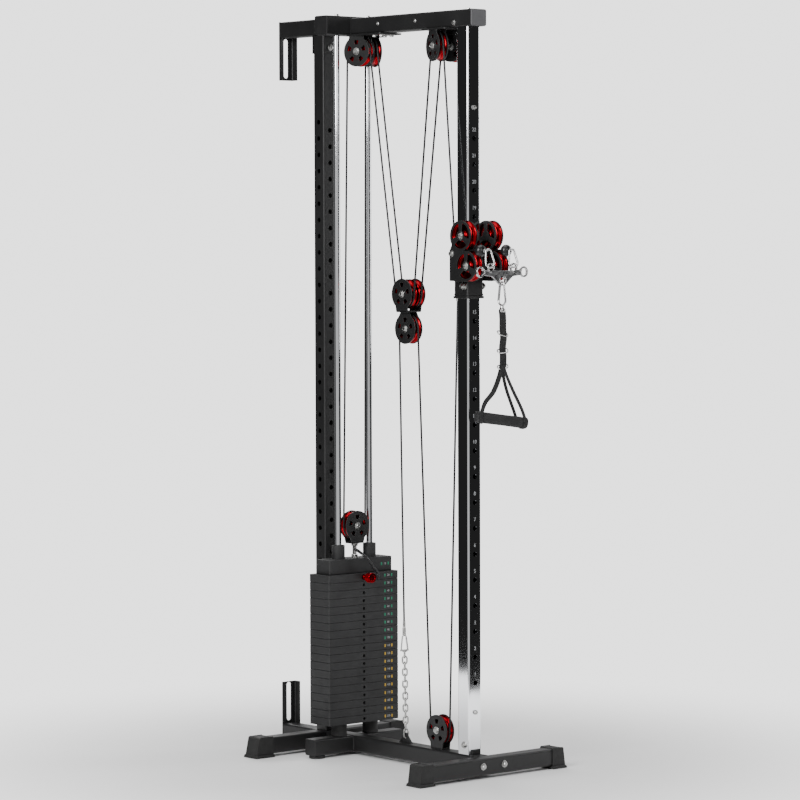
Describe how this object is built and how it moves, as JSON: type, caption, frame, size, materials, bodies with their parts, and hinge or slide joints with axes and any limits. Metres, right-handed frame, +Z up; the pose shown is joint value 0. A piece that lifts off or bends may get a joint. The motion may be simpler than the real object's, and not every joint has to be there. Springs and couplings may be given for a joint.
{
  "type": "cable tower",
  "caption": "Free-standing cable tower: a sliding pulley carriage on a drilled column, a pin-selected weight stack and a strap handle.",
  "frame": {"origin": "on the floor, under the middle of the machine's whole box, its handle included", "axes": "+Z up, +Y towards the wall behind the machine, so the user stands at -Y and +X is to the user's right"},
  "size_m": [0.61, 1.0426, 2.254],
  "materials": {
    "black_powder_coat": "satin",
    "chrome_plate": "polished",
    "red_anodised": "anodised satin",
    "coated_weight": "matt",
    "black_rubber": "matt",
    "coated_cable": "smooth",
    "nylon_webbing": "woven",
    "foam_grip": "soft foam",
    "zinc_plate": "zinc"
  },
  "bodies": {
    "tower": {"base_frame": "black_powder_coat", "front_crossbar": "black_powder_coat", "rear_crossbar": "black_powder_coat", "column": "chrome_plate", "rear_upright": "black_powder_coat", "rod_head_tube": "black_powder_coat", "top_beam": "black_powder_coat", "upper_wall_mount": "black_powder_coat", "lower_wall_mount": "black_powder_coat", "front_left_foot_cap": "black_rubber", "front_right_foot_cap": "black_rubber", "rear_left_foot_cap": "black_rubber", "rear_right_foot_cap": "black_rubber", "stack_left_foot": "black_rubber", "stack_right_foot": "black_rubber", "left_guide_rod": "chrome_plate", "right_guide_rod": "chrome_plate", "left_stack_bumper": "black_rubber", "right_stack_bumper": "black_rubber", "rear_top_bracket": "black_powder_coat", "front_top_bracket": "black_powder_coat", "low_pulley_bracket": "black_powder_coat", "anchor_chain": "zinc_plate", "weight_plates": "coated_weight", "stack_cable": "coated_cable", "left_lift_cable": "coated_cable", "right_lift_cable": "coated_cable", "left_trolley_cable": "coated_cable", "right_trolley_cable": "coated_cable", "trolley_down_cable": "coated_cable", "counter_cable": "coated_cable"},
    "carriage": {"stack_header": "coated_weight", "selected_plate": "coated_weight", "selector_stem": "chrome_plate", "stack_pulley_bracket": "black_powder_coat"},
    "equaliser_wheel": {"stack_pulley": "red_anodised"},
    "selector_pin": {"selector_pin": "red_anodised"},
    "rear_left_wheel": {"rear_top_left_pulley": "red_anodised"},
    "rear_right_wheel": {"rear_top_right_pulley": "red_anodised"},
    "front_left_wheel": {"front_top_left_pulley": "red_anodised"},
    "front_right_wheel": {"front_top_right_pulley": "red_anodised"},
    "low_wheel": {"low_pulley": "red_anodised"},
    "float": {"floating_block": "black_powder_coat"},
    "float_left_wheel": {"floating_left_pulley": "red_anodised"},
    "float_right_wheel": {"floating_right_pulley": "red_anodised"},
    "float_lower_wheel": {"floating_lower_pulley": "red_anodised"},
    "trolley": {"trolley": "black_powder_coat"},
    "trolley_left_upper_wheel": {"trolley_left_upper_pulley": "red_anodised"},
    "trolley_right_upper_wheel": {"trolley_right_upper_pulley": "red_anodised"},
    "trolley_left_lower_wheel": {"trolley_left_lower_pulley": "red_anodised"},
    "trolley_right_lower_wheel": {"trolley_right_lower_pulley": "red_anodised"},
    "pop_pin": {"pop_pin": "chrome_plate"},
    "pull_bar": {"pull_bar": "chrome_plate", "left_snap_hook": "chrome_plate", "right_snap_hook": "chrome_plate", "left_cable_end": "black_rubber", "right_cable_end": "black_rubber"},
    "handle": {"handle_snap_hook": "chrome_plate", "handle_strap": "nylon_webbing", "handle_grip": "foam_grip"}
  },
  "joints": [
    {"name": "carriage_lift", "type": "slide", "parent": "tower", "child": "carriage", "axis": [0, 0, 1], "range_m": [0, 1.2], "deforming": ["stack_cable"]},
    {"name": "selector_pull", "type": "slide", "parent": "carriage", "child": "selector_pin", "axis": [0, -1, 0], "range_m": [0, 0.08]},
    {"name": "stack_pulley_spin", "type": "hinge", "parent": "carriage", "child": "equaliser_wheel", "pos_m": [0, 0.193, 0.702], "axis": [0, 1, 0], "continuous": true},
    {"name": "trolley_slide", "type": "slide", "parent": "tower", "child": "trolley", "axis": [0, 0, 1], "range_m": [-0.9144, 0.381], "deforming": ["left_trolley_cable", "right_trolley_cable", "trolley_down_cable"]},
    {"name": "floating_lift", "type": "slide", "parent": "tower", "child": "float", "axis": [0, 0, 1], "range_m": [-0.1905, 0.4572], "deforming": ["left_lift_cable", "right_lift_cable", "counter_cable"]},
    {"name": "pull_bar_slide", "type": "slide", "parent": "trolley", "child": "pull_bar", "axis": [0, -1, 0], "range_m": [0, 1.2], "deforming": ["left_cable_end", "right_cable_end"]},
    {"name": "handle_swing", "type": "hinge", "parent": "pull_bar", "child": "handle", "pos_m": [0, -0.479, 1.444], "axis": [1, 0, 0], "range_deg": [-90, 8]},
    {"name": "pop_pin_pull", "type": "slide", "parent": "trolley", "child": "pop_pin", "axis": [0, -1, 0], "range_m": [0, 0.012], "stiffness_N_per_m": 400, "springref_m": -0.008},
    {"name": "rear_left_spin", "type": "hinge", "parent": "tower", "child": "rear_left_wheel", "pos_m": [-0.0252, 0.134, 2.146], "axis": [0.9681, 0.2504, 0], "continuous": true},
    {"name": "rear_right_spin", "type": "hinge", "parent": "tower", "child": "rear_right_wheel", "pos_m": [0.0252, 0.134, 2.146], "axis": [0.9681, -0.2504, 0], "continuous": true},
    {"name": "front_left_spin", "type": "hinge", "parent": "tower", "child": "front_left_wheel", "pos_m": [-0.032, -0.233, 2.146], "axis": [0.9613, -0.2756, 0], "continuous": true},
    {"name": "front_right_spin", "type": "hinge", "parent": "tower", "child": "front_right_wheel", "pos_m": [0.032, -0.233, 2.146], "axis": [0.9613, 0.2756, 0], "continuous": true},
    {"name": "low_spin", "type": "hinge", "parent": "tower", "child": "low_wheel", "pos_m": [0, -0.203, 0.115], "axis": [1, 0, 0], "continuous": true},
    {"name": "float_left_spin", "type": "hinge", "parent": "float", "child": "float_left_wheel", "pos_m": [-0.0145, -0.064, 1.414], "axis": [1, 0, 0], "continuous": true},
    {"name": "float_right_spin", "type": "hinge", "parent": "float", "child": "float_right_wheel", "pos_m": [0.0145, -0.064, 1.414], "axis": [1, 0, 0], "continuous": true},
    {"name": "float_lower_spin", "type": "hinge", "parent": "float", "child": "float_lower_wheel", "pos_m": [0, -0.064, 1.31], "axis": [1, 0, 0], "continuous": true},
    {"name": "trolley_left_upper_spin", "type": "hinge", "parent": "trolley", "child": "trolley_left_upper_wheel", "pos_m": [-0.05, -0.3695, 1.587], "axis": [1, 0, 0], "continuous": true},
    {"name": "trolley_right_upper_spin", "type": "hinge", "parent": "trolley", "child": "trolley_right_upper_wheel", "pos_m": [0.05, -0.3695, 1.587], "axis": [1, 0, 0], "continuous": true},
    {"name": "trolley_left_lower_spin", "type": "hinge", "parent": "trolley", "child": "trolley_left_lower_wheel", "pos_m": [-0.05, -0.393, 1.499], "axis": [1, 0, 0], "continuous": true},
    {"name": "trolley_right_lower_spin", "type": "hinge", "parent": "trolley", "child": "trolley_right_lower_wheel", "pos_m": [0.05, -0.393, 1.499], "axis": [1, 0, 0], "continuous": true}
  ],
  "couplings": [
    {"joint": "pull_bar_slide", "follows": "carriage_lift", "ratio": 1},
    {"joint": "rear_left_spin", "follows": "carriage_lift", "rad_per_m": 23.529},
    {"joint": "rear_right_spin", "follows": "carriage_lift", "rad_per_m": 23.529},
    {"joint": "front_left_spin", "follows": "carriage_lift", "rad_per_m": 23.529},
    {"joint": "front_right_spin", "follows": "carriage_lift", "rad_per_m": 23.529},
    {"joint": "float_left_spin", "follows": "carriage_lift", "rad_per_m": -23.529},
    {"joint": "float_right_spin", "follows": "carriage_lift", "rad_per_m": -23.529},
    {"joint": "trolley_left_upper_spin", "follows": "carriage_lift", "rad_per_m": -23.529},
    {"joint": "trolley_right_upper_spin", "follows": "carriage_lift", "rad_per_m": -23.529},
    {"joint": "trolley_left_lower_spin", "follows": "carriage_lift", "rad_per_m": 23.529},
    {"joint": "trolley_right_lower_spin", "follows": "carriage_lift", "rad_per_m": 23.529},
    {"joint": "floating_lift", "follows": "trolley_slide", "ratio": -0.5},
    {"joint": "low_spin", "follows": "trolley_slide", "rad_per_m": -23.529},
    {"joint": "float_lower_spin", "follows": "trolley_slide", "rad_per_m": 11.765}
  ]
}
